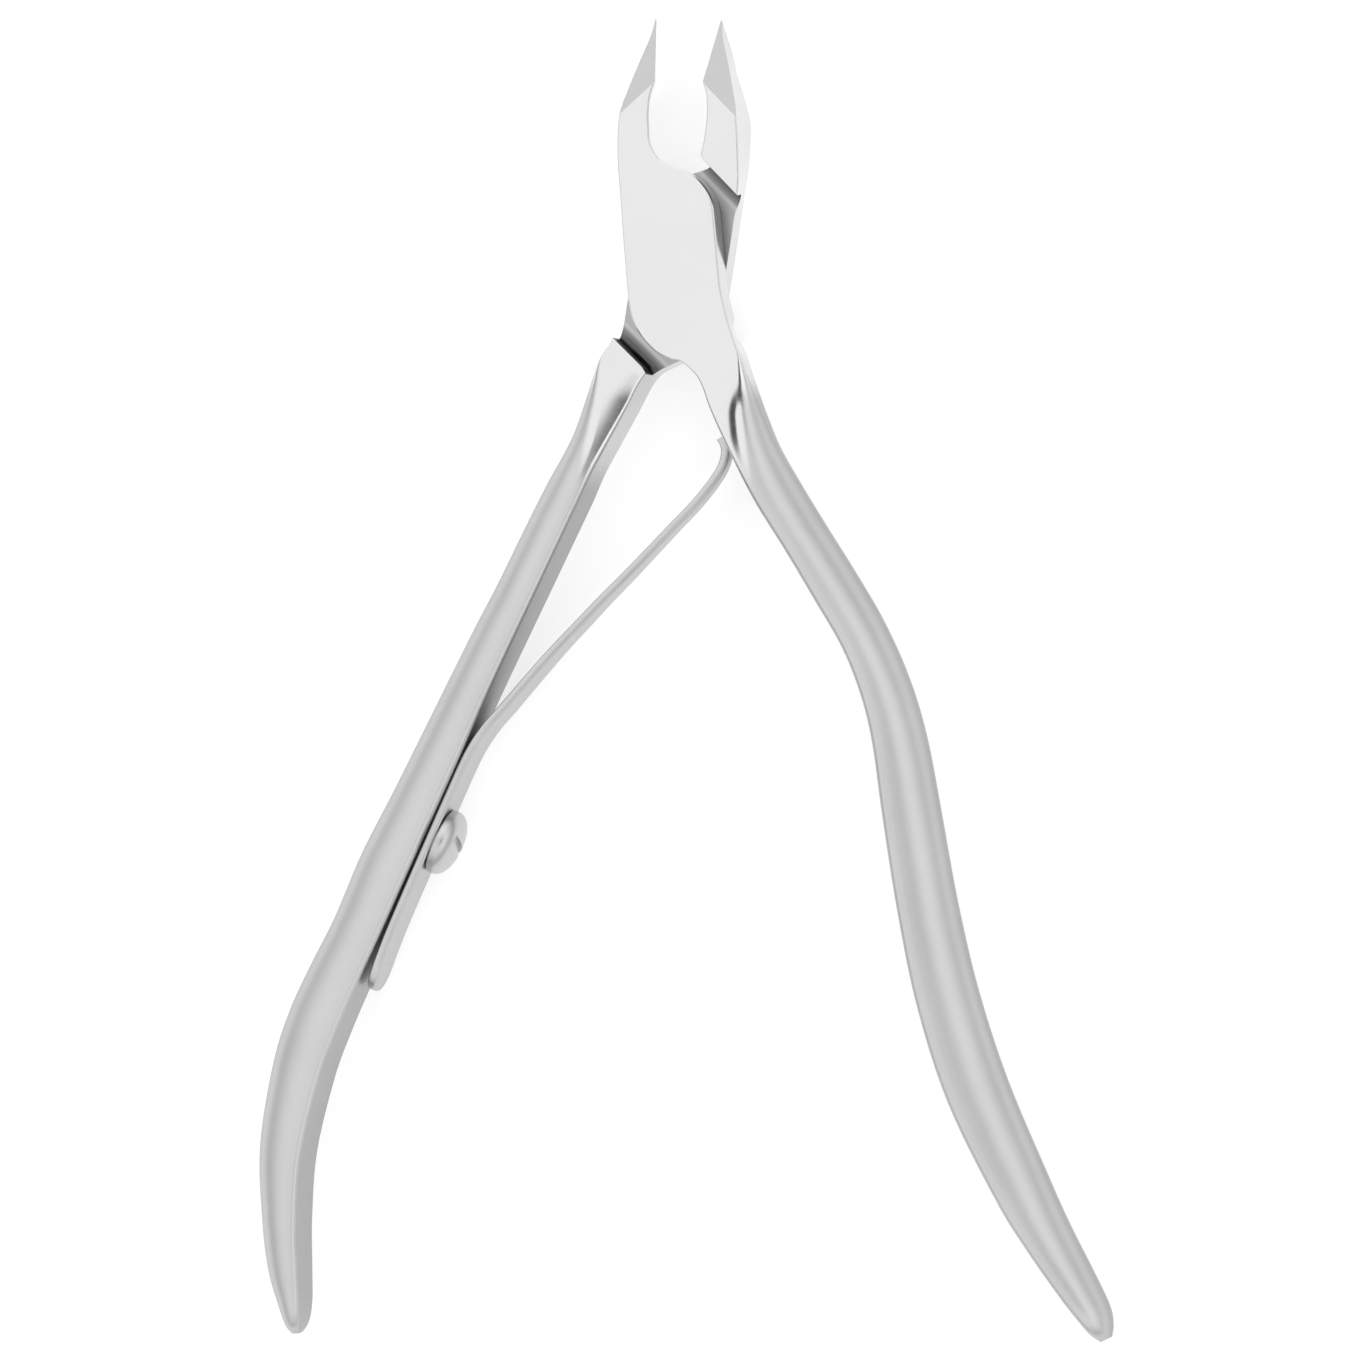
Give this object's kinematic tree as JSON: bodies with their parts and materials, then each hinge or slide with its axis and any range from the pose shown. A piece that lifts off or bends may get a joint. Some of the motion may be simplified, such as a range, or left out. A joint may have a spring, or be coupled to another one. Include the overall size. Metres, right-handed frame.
{
  "type": "cuticle nipper",
  "caption": "Stainless cuticle nipper with a lap joint, ground jaws, curved handles and a screwed leaf spring.",
  "frame": {"origin": "on the rivet's axis, on the face the tool lies on, which is the rivet's flush back end", "axes": "+Y towards the jaws along the line that splits the opening, +Z out of the front face, X across the tool"},
  "size_m": [0.0727, 0.1109, 0.0063],
  "materials": {
    "forged_steel": "satin grip with polished head and ground jaws",
    "spring_steel": "rolled strip",
    "fastener_steel": "bright satin"
  },
  "bodies": {
    "back": {"back_half": "forged_steel", "pivot_rivet": "fastener_steel", "leaf_spring": "spring_steel", "spring_screw": "fastener_steel"},
    "front": {"front_half": "forged_steel"}
  },
  "joints": [
    {"name": "jaw_pivot", "type": "hinge", "parent": "back", "child": "front", "pos_m": [0, 0, 0.00315], "axis": [0, 0, -1], "range_deg": [0, 15], "stiffness_Nm_per_rad": 0.6, "deforming": ["leaf_spring"]}
  ]
}
